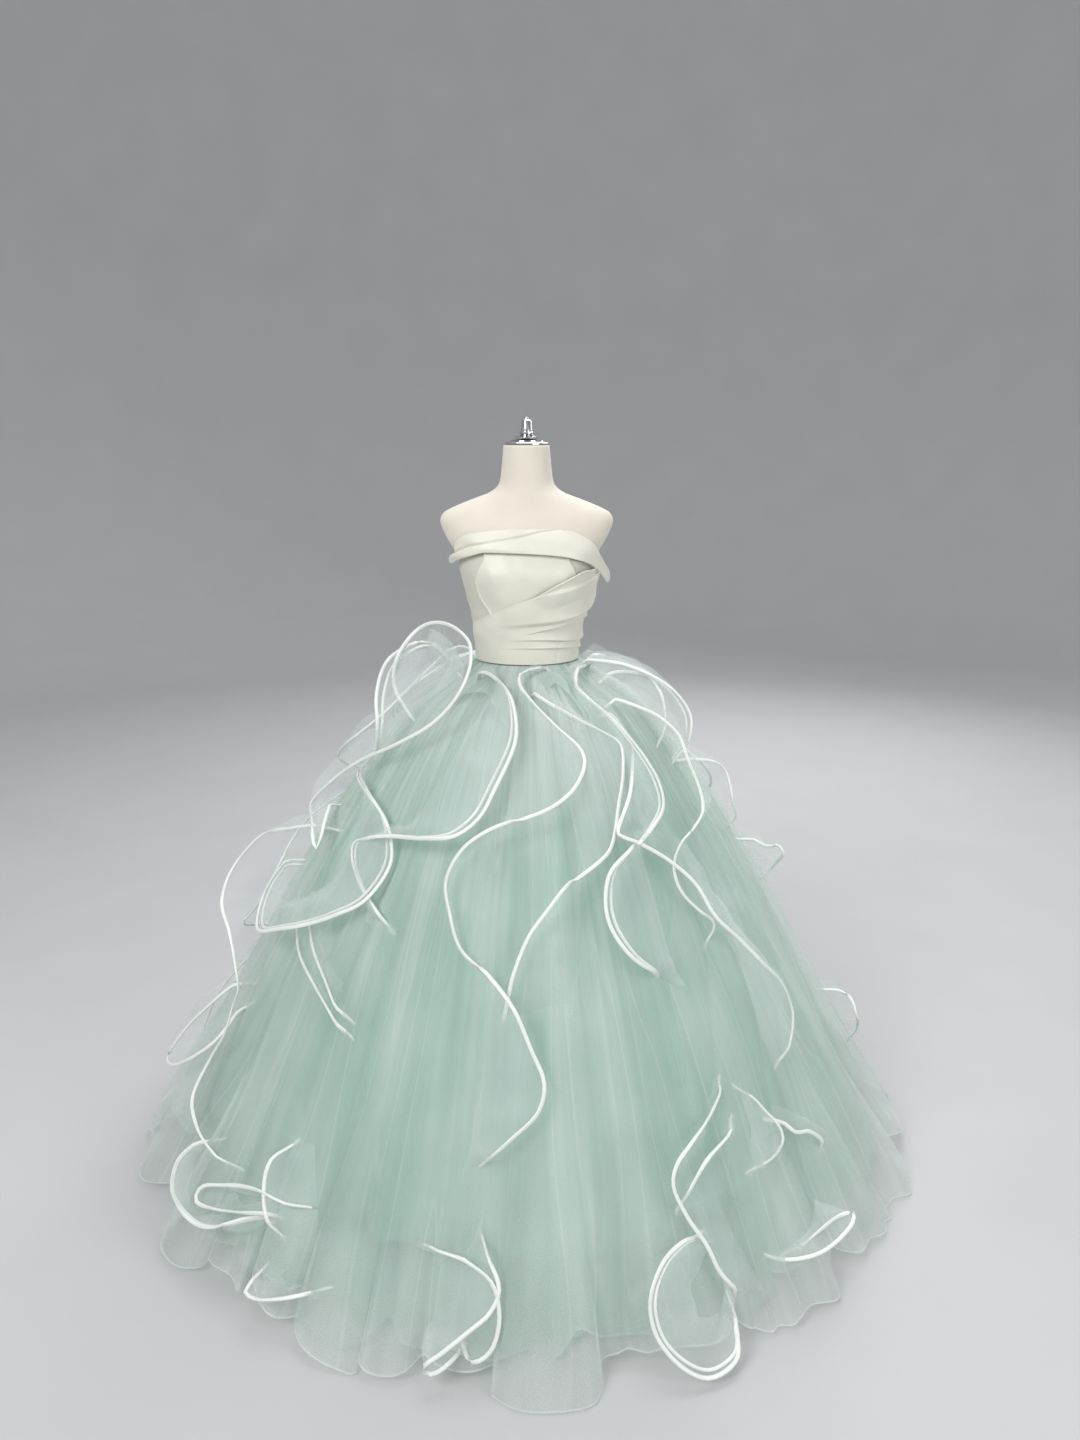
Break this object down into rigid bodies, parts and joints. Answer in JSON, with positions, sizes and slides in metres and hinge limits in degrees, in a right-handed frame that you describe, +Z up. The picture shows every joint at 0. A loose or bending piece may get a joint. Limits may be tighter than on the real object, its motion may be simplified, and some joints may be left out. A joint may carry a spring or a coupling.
{
  "type": "ball gown on a dress form",
  "caption": "Strapless satin ball gown with a folded cuff, a pleated wrap at the waist and a full tulle skirt with bound cascading ruffles, on a limbless dress form.",
  "frame": {"origin": "on the floor, at the middle of the underside of the stand's round foot", "axes": "+Z up the pole and the body, -Y out of the front of the gown, +X to the viewer's right, which is the wearer's left"},
  "size_m": [1.8385, 1.8019, 1.602],
  "materials": {
    "form_jersey": "fine matt jersey",
    "chrome": "polished",
    "stand_paint": "satin black paint",
    "bodice_satin": "heavy satin, soft sheen",
    "binding_satin": "bright satin binding",
    "lining_mint": "matt mint lining",
    "tulle": "sheer soft tulle"
  },
  "bodies": {
    "root": {"form_torso": "form_jersey", "form_neck_cap": "chrome", "form_finial": "chrome", "form_socket": "stand_paint", "form_pole": "stand_paint", "form_base": "stand_paint", "bodice_front": "bodice_satin", "bodice_side_front_left": "bodice_satin", "bodice_side_front_right": "bodice_satin", "bodice_back_left": "bodice_satin", "bodice_back_right": "bodice_satin", "bodice_drape": "bodice_satin", "cuff_under": "bodice_satin", "cuff_over": "bodice_satin", "lining_1": "lining_mint", "lining_2": "lining_mint", "lining_3": "lining_mint", "lining_4": "lining_mint", "inner_tulle_1": "tulle", "inner_tulle_2": "tulle", "inner_tulle_3": "tulle", "inner_tulle_4": "tulle", "outer_tulle_1": "tulle", "outer_tulle_2": "tulle", "outer_tulle_3": "tulle", "outer_tulle_4": "tulle", "outer_tulle_5": "tulle", "outer_tulle_6": "tulle", "ruffle_left_back": "tulle", "ruffle_left_outer": "tulle", "ruffle_left_front": "tulle", "ruffle_front_left": "tulle", "ruffle_front_centre": "tulle", "ruffle_front_right": "tulle", "ruffle_right_inner": "tulle", "ruffle_right_front": "tulle", "ruffle_right_outer": "tulle", "ruffle_right_back": "tulle", "ruffle_back_right": "tulle", "ruffle_back_right_centre": "tulle", "ruffle_back_left_centre": "tulle", "ruffle_back_left": "tulle", "binding_left_back": "binding_satin", "binding_left_outer": "binding_satin", "binding_left_front": "binding_satin", "binding_front_left": "binding_satin", "binding_front_centre": "binding_satin", "binding_front_right": "binding_satin", "binding_right_inner": "binding_satin", "binding_right_front": "binding_satin", "binding_right_outer": "binding_satin", "binding_right_back": "binding_satin", "binding_back_right": "binding_satin", "binding_back_right_centre": "binding_satin", "binding_back_left_centre": "binding_satin", "binding_back_left": "binding_satin"}
  },
  "joints": []
}
